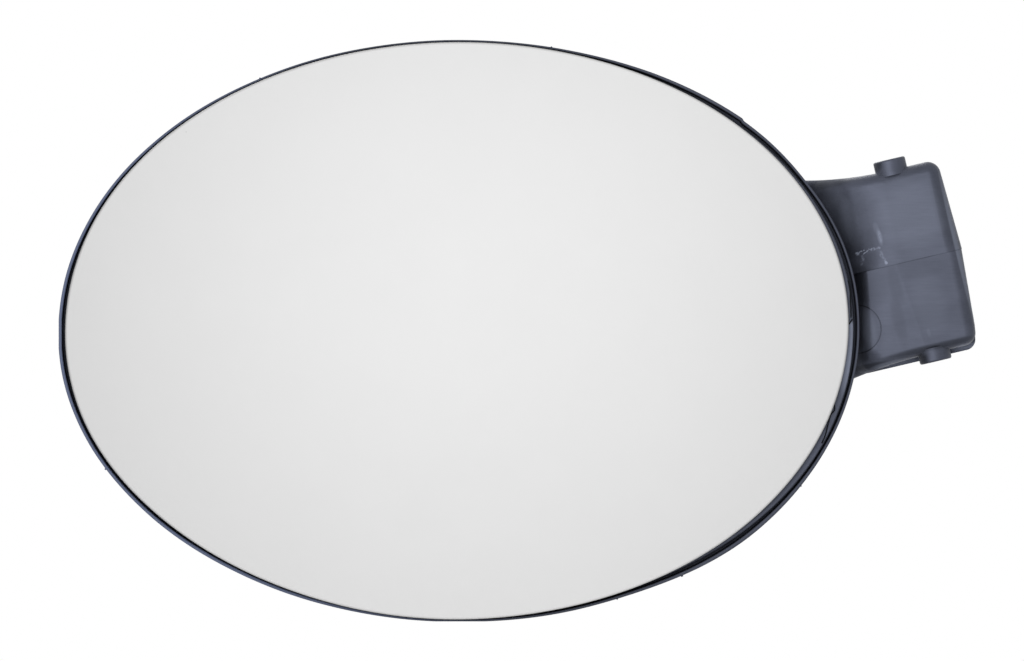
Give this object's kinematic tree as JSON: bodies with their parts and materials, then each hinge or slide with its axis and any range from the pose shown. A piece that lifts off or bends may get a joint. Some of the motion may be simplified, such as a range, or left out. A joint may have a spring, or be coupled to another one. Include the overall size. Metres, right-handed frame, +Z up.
{
  "type": "car fuel door",
  "caption": "Oval car fuel door: crowned outer panel on a ribbed carrier, rubber lip round the edge, latch tongue, and a gooseneck hinge arm that turns on coaxial pivot pins.",
  "frame": {"origin": "on the hinge axis, in the middle of the upper pivot pin's bearing", "axes": "+X along the door to the hinge side, +Y into the car, +Z up the closed door; the hinge axis leans from +Z towards -X"},
  "size_m": [0.2265, 0.0329, 0.1432],
  "materials": {
    "primed_panel": "satin primer",
    "carrier_plastic": "moulded black",
    "seal_rubber": "matt black",
    "stop_rubber": "matt black",
    "arm_plastic": "moulded grey-black, semi matt",
    "screw_steel": "zinc plated"
  },
  "bodies": {
    "root": {"outer_panel": "primed_panel", "carrier": "carrier_plastic", "edge_seal": "seal_rubber", "bump_stop_upper": "stop_rubber", "bump_stop_lower": "stop_rubber", "hinge_arm": "arm_plastic", "arm_screws": "screw_steel"}
  },
  "joints": []
}
